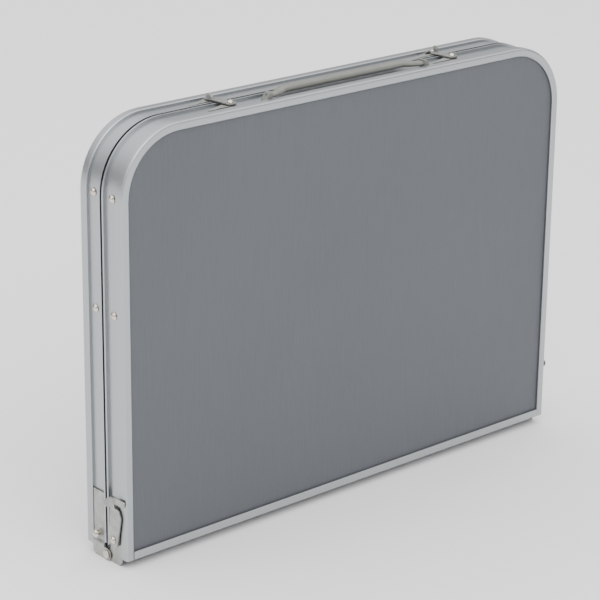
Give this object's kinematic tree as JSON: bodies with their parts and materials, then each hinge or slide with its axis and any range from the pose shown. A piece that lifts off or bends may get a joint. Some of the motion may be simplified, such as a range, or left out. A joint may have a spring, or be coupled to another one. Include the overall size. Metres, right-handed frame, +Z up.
{
  "type": "folding table",
  "caption": "Suitcase-style folding table: two rail-framed tabletop halves hinged along one edge, with telescopic leg frames, folding stays, latches and a carry handle.",
  "frame": {"origin": "bottom centre of the closed case, on the floor below the hinge plates", "axes": "+X along the width, +Y from the front half to the rear half through the closed case, +Z up from the hinge edge to the handle edge"},
  "size_m": [0.6192, 0.068, 0.4626],
  "materials": {
    "aluminium_frame": "satin anodised",
    "grey_laminate": "finely streaked laminate",
    "zinc_steel": "dull zinc plated",
    "nickel_rivet": "polished nickel",
    "aluminium_tube": "drawn tube",
    "grey_plastic": "moulded",
    "black_rubber": "matt"
  },
  "bodies": {
    "rear_half": {"rear_frame_rail": "aluminium_frame", "rear_edge_trim": "aluminium_frame", "rear_top_panel": "grey_laminate", "rear_hinge_plate_left": "zinc_steel", "rear_hinge_plate_right": "zinc_steel", "rear_clasp_base_left": "zinc_steel", "rear_clasp_base_right": "zinc_steel", "rear_leg_pivot_left": "nickel_rivet", "rear_leg_pivot_right": "nickel_rivet", "rear_stay_pivot_left": "nickel_rivet", "rear_stay_pivot_right": "nickel_rivet", "rear_latch_stud_left": "nickel_rivet", "rear_latch_stud_right": "nickel_rivet"},
    "front_half": {"front_frame_rail": "aluminium_frame", "front_edge_trim": "aluminium_frame", "front_top_panel": "grey_laminate", "front_hinge_plate_left": "zinc_steel", "front_hinge_plate_right": "zinc_steel", "front_clasp_base_left": "zinc_steel", "front_clasp_base_right": "zinc_steel", "front_leg_pivot_left": "nickel_rivet", "front_leg_pivot_right": "nickel_rivet", "front_stay_pivot_left": "nickel_rivet", "front_stay_pivot_right": "nickel_rivet", "hinge_pin_left": "nickel_rivet", "hinge_pin_right": "nickel_rivet", "latch_pivot_left": "nickel_rivet", "latch_pivot_right": "nickel_rivet", "clasp_pivot_left": "nickel_rivet", "clasp_pivot_right": "nickel_rivet", "handle_mount_left": "grey_plastic", "handle_mount_right": "grey_plastic"},
    "handle": {"carry_handle": "grey_plastic"},
    "latch_left": {"hinge_latch_left": "zinc_steel"},
    "clasp_left": {"clasp_hook_left": "zinc_steel"},
    "latch_right": {"hinge_latch_right": "zinc_steel"},
    "clasp_right": {"clasp_hook_right": "zinc_steel"},
    "rear_legs": {"rear_leg_frame": "aluminium_tube"},
    "rear_leg_mid_left": {"rear_leg_mid_tube_left": "aluminium_tube"},
    "rear_leg_inner_left": {"rear_leg_inner_tube_left": "aluminium_tube", "rear_foot_left": "black_rubber"},
    "rear_frame_bar_left": {"rear_stay_frame_bar_left": "zinc_steel"},
    "rear_leg_bar_left": {"rear_stay_leg_bar_left": "zinc_steel"},
    "rear_leg_mid_right": {"rear_leg_mid_tube_right": "aluminium_tube"},
    "rear_leg_inner_right": {"rear_leg_inner_tube_right": "aluminium_tube", "rear_foot_right": "black_rubber"},
    "rear_frame_bar_right": {"rear_stay_frame_bar_right": "zinc_steel"},
    "rear_leg_bar_right": {"rear_stay_leg_bar_right": "zinc_steel"},
    "front_legs": {"front_leg_frame": "aluminium_tube"},
    "front_leg_mid_left": {"front_leg_mid_tube_left": "aluminium_tube"},
    "front_leg_inner_left": {"front_leg_inner_tube_left": "aluminium_tube", "front_foot_left": "black_rubber"},
    "front_frame_bar_left": {"front_stay_frame_bar_left": "zinc_steel"},
    "front_leg_bar_left": {"front_stay_leg_bar_left": "zinc_steel"},
    "front_leg_mid_right": {"front_leg_mid_tube_right": "aluminium_tube"},
    "front_leg_inner_right": {"front_leg_inner_tube_right": "aluminium_tube", "front_foot_right": "black_rubber"},
    "front_frame_bar_right": {"front_stay_frame_bar_right": "zinc_steel"},
    "front_leg_bar_right": {"front_stay_leg_bar_right": "zinc_steel"}
  },
  "joints": [
    {"name": "case_fold", "type": "hinge", "parent": "rear_half", "child": "front_half", "pos_m": [0, 0, 0.0065], "axis": [1, 0, 0], "range_deg": [0, 180]},
    {"name": "latch_turn_left", "type": "hinge", "parent": "front_half", "child": "latch_left", "pos_m": [0, -0.0141, 0.0279], "axis": [1, 0, 0], "range_deg": [0, 170.6]},
    {"name": "clasp_turn_left", "type": "hinge", "parent": "front_half", "child": "clasp_left", "pos_m": [-0.1515, -0.0145, 0.452], "axis": [0, 0, 1], "range_deg": [0, 95]},
    {"name": "latch_turn_right", "type": "hinge", "parent": "front_half", "child": "latch_right", "pos_m": [0, -0.0141, 0.0279], "axis": [1, 0, 0], "range_deg": [0, 170.6]},
    {"name": "clasp_turn_right", "type": "hinge", "parent": "front_half", "child": "clasp_right", "pos_m": [0.1515, -0.0145, 0.452], "axis": [0, 0, -1], "range_deg": [0, 95]},
    {"name": "handle_swing", "type": "hinge", "parent": "front_half", "child": "handle", "pos_m": [0, -0.0185, 0.4568], "axis": [1, 0, 0], "range_deg": [0, 90]},
    {"name": "rear_leg_swing", "type": "hinge", "parent": "rear_half", "child": "rear_legs", "pos_m": [0, 0.015, 0.386], "axis": [1, 0, 0], "range_deg": [-90, 0]},
    {"name": "rear_leg_mid_left_slide", "type": "slide", "parent": "rear_legs", "child": "rear_leg_mid_left", "axis": [0, 0, -1], "range_m": [0, 0.2]},
    {"name": "rear_leg_inner_left_slide", "type": "slide", "parent": "rear_leg_mid_left", "child": "rear_leg_inner_left", "axis": [0, 0, -1], "range_m": [0, 0.19]},
    {"name": "rear_frame_bar_left_turn", "type": "hinge", "parent": "rear_half", "child": "rear_frame_bar_left", "pos_m": [0, 0.015, 0.267], "axis": [1, 0, 0], "range_deg": [0, 56.6]},
    {"name": "rear_leg_bar_left_turn", "type": "hinge", "parent": "rear_legs", "child": "rear_leg_bar_left", "pos_m": [0, 0.015, 0.206], "axis": [1, 0, 0], "range_deg": [-33.6, 0]},
    {"name": "rear_leg_mid_right_slide", "type": "slide", "parent": "rear_legs", "child": "rear_leg_mid_right", "axis": [0, 0, -1], "range_m": [0, 0.2]},
    {"name": "rear_leg_inner_right_slide", "type": "slide", "parent": "rear_leg_mid_right", "child": "rear_leg_inner_right", "axis": [0, 0, -1], "range_m": [0, 0.19]},
    {"name": "rear_frame_bar_right_turn", "type": "hinge", "parent": "rear_half", "child": "rear_frame_bar_right", "pos_m": [0, 0.015, 0.267], "axis": [1, 0, 0], "range_deg": [0, 56.6]},
    {"name": "rear_leg_bar_right_turn", "type": "hinge", "parent": "rear_legs", "child": "rear_leg_bar_right", "pos_m": [0, 0.015, 0.206], "axis": [1, 0, 0], "range_deg": [-33.6, 0]},
    {"name": "front_leg_swing", "type": "hinge", "parent": "front_half", "child": "front_legs", "pos_m": [0, -0.015, 0.386], "axis": [1, 0, 0], "range_deg": [0, 90]},
    {"name": "front_leg_mid_left_slide", "type": "slide", "parent": "front_legs", "child": "front_leg_mid_left", "axis": [0, 0, -1], "range_m": [0, 0.2]},
    {"name": "front_leg_inner_left_slide", "type": "slide", "parent": "front_leg_mid_left", "child": "front_leg_inner_left", "axis": [0, 0, -1], "range_m": [0, 0.19]},
    {"name": "front_frame_bar_left_turn", "type": "hinge", "parent": "front_half", "child": "front_frame_bar_left", "pos_m": [0, -0.015, 0.267], "axis": [1, 0, 0], "range_deg": [-56.6, 0]},
    {"name": "front_leg_bar_left_turn", "type": "hinge", "parent": "front_legs", "child": "front_leg_bar_left", "pos_m": [0, -0.015, 0.206], "axis": [1, 0, 0], "range_deg": [0, 33.6]},
    {"name": "front_leg_mid_right_slide", "type": "slide", "parent": "front_legs", "child": "front_leg_mid_right", "axis": [0, 0, -1], "range_m": [0, 0.2]},
    {"name": "front_leg_inner_right_slide", "type": "slide", "parent": "front_leg_mid_right", "child": "front_leg_inner_right", "axis": [0, 0, -1], "range_m": [0, 0.19]},
    {"name": "front_frame_bar_right_turn", "type": "hinge", "parent": "front_half", "child": "front_frame_bar_right", "pos_m": [0, -0.015, 0.267], "axis": [1, 0, 0], "range_deg": [-56.6, 0]},
    {"name": "front_leg_bar_right_turn", "type": "hinge", "parent": "front_legs", "child": "front_leg_bar_right", "pos_m": [0, -0.015, 0.206], "axis": [1, 0, 0], "range_deg": [0, 33.6]}
  ],
  "couplings": [
    {"joint": "rear_leg_swing", "follows": "case_fold", "ratio": -0.5},
    {"joint": "rear_frame_bar_left_turn", "follows": "case_fold", "ratio": 0.31406},
    {"joint": "rear_leg_bar_left_turn", "follows": "case_fold", "ratio": -0.18594},
    {"joint": "rear_frame_bar_right_turn", "follows": "case_fold", "ratio": 0.31406},
    {"joint": "rear_leg_bar_right_turn", "follows": "case_fold", "ratio": -0.18594},
    {"joint": "front_leg_swing", "follows": "case_fold", "ratio": 0.5},
    {"joint": "front_frame_bar_left_turn", "follows": "case_fold", "ratio": -0.31406},
    {"joint": "front_leg_bar_left_turn", "follows": "case_fold", "ratio": 0.18594},
    {"joint": "front_frame_bar_right_turn", "follows": "case_fold", "ratio": -0.31406},
    {"joint": "front_leg_bar_right_turn", "follows": "case_fold", "ratio": 0.18594}
  ]
}
